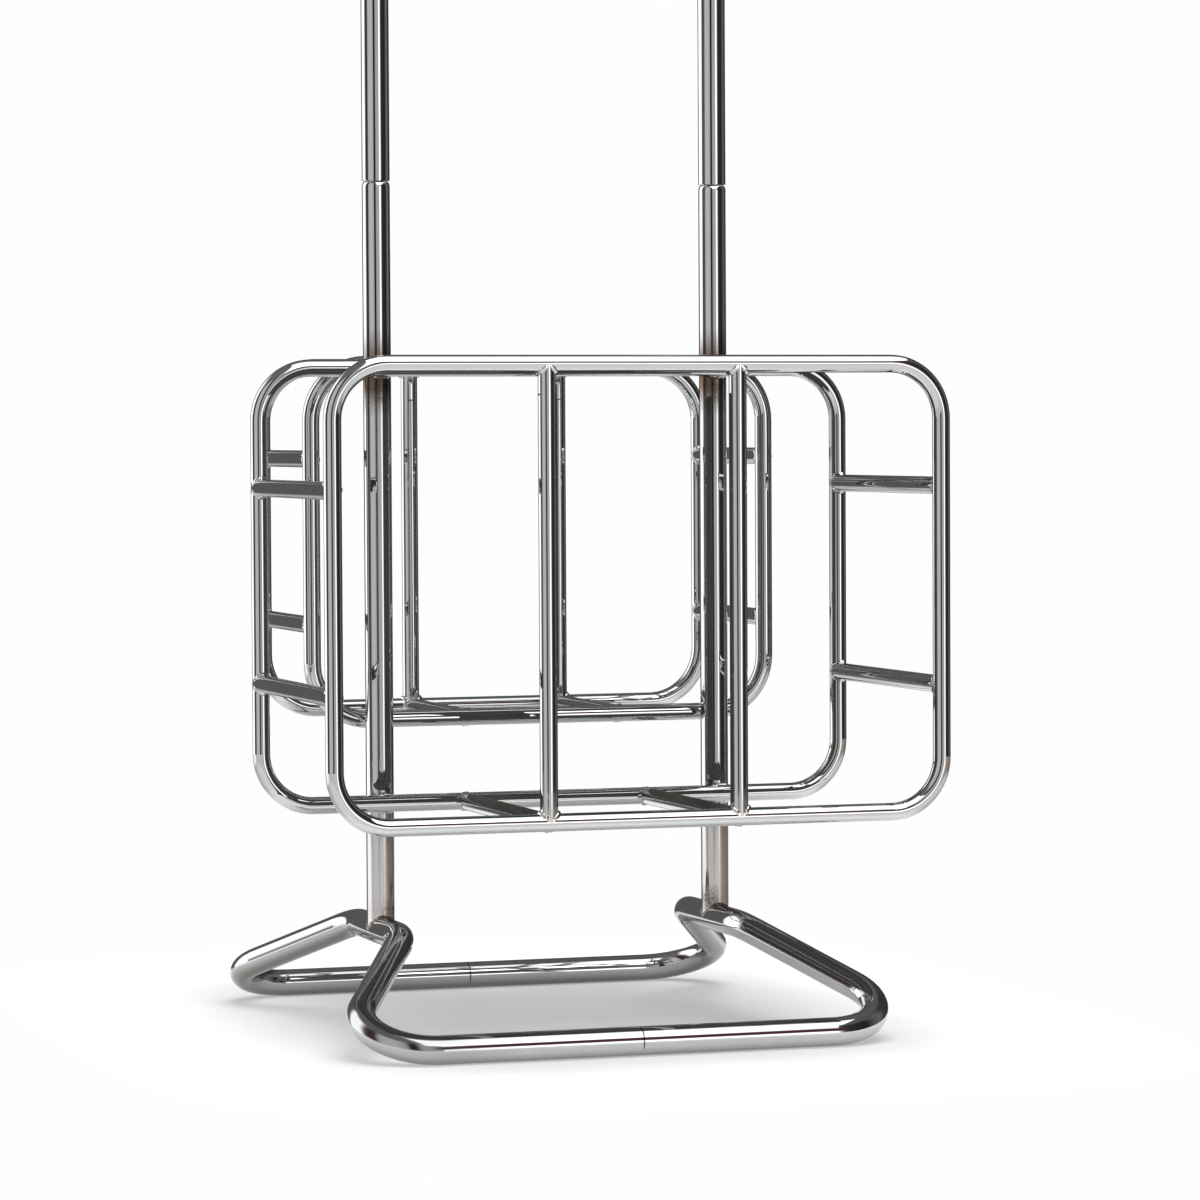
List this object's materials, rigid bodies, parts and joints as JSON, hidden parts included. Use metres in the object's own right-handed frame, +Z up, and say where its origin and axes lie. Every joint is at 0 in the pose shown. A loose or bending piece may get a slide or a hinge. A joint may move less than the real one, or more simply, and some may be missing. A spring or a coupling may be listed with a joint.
{
  "type": "baggage gauge stand",
  "caption": "Chromed steel-tube stand with two open-topped cages for gauging cabin bags, on a looped floor base with a lift-off upper hoop.",
  "frame": {"origin": "on the floor, midway between the two uprights, in the plane through their axes; it is the middle of the bottom of the stand's box", "axes": "+Z up, the main cage and front of the stand towards -Y, the stand's right side (seen from the front) towards +X"},
  "size_m": [0.584, 0.582, 1.3],
  "materials": {
    "chrome_cage": "bright chrome plate",
    "chrome_stand": "bright chrome plate",
    "chrome_lower": "chrome plate, duller and heat-stained near the welds",
    "steel_inner": "bare steel sleeve, hidden"
  },
  "bodies": {
    "stand": {"base_ferrule_front": "steel_inner", "base_ferrule_rear": "steel_inner", "base_frame_left": "chrome_stand", "base_frame_right": "chrome_stand", "main_back_hoop": "chrome_cage", "main_floor_rail_left": "chrome_cage", "main_floor_rail_right": "chrome_cage", "main_front_bar_left": "chrome_cage", "main_front_bar_right": "chrome_cage", "main_front_hoop": "chrome_cage", "main_side_rail_left_lower": "chrome_cage", "main_side_rail_left_upper": "chrome_cage", "main_side_rail_right_lower": "chrome_cage", "main_side_rail_right_upper": "chrome_cage", "small_far_bar_left": "chrome_cage", "small_far_bar_right": "chrome_cage", "small_far_hoop": "chrome_cage", "small_floor_rail_left": "chrome_cage", "small_floor_rail_right": "chrome_cage", "small_near_hoop": "chrome_cage", "small_side_rail_left_lower": "chrome_cage", "small_side_rail_left_upper": "chrome_cage", "small_side_rail_right_lower": "chrome_cage", "small_side_rail_right_upper": "chrome_cage", "upright_left": "chrome_lower", "upright_right": "chrome_lower"},
    "upper_section": {"upper_hoop": "chrome_stand"}
  },
  "joints": [
    {"name": "upper_hoop_lift", "type": "slide", "parent": "stand", "child": "upper_section", "axis": [0, 0, 1], "range_m": [0, 0.075]}
  ]
}
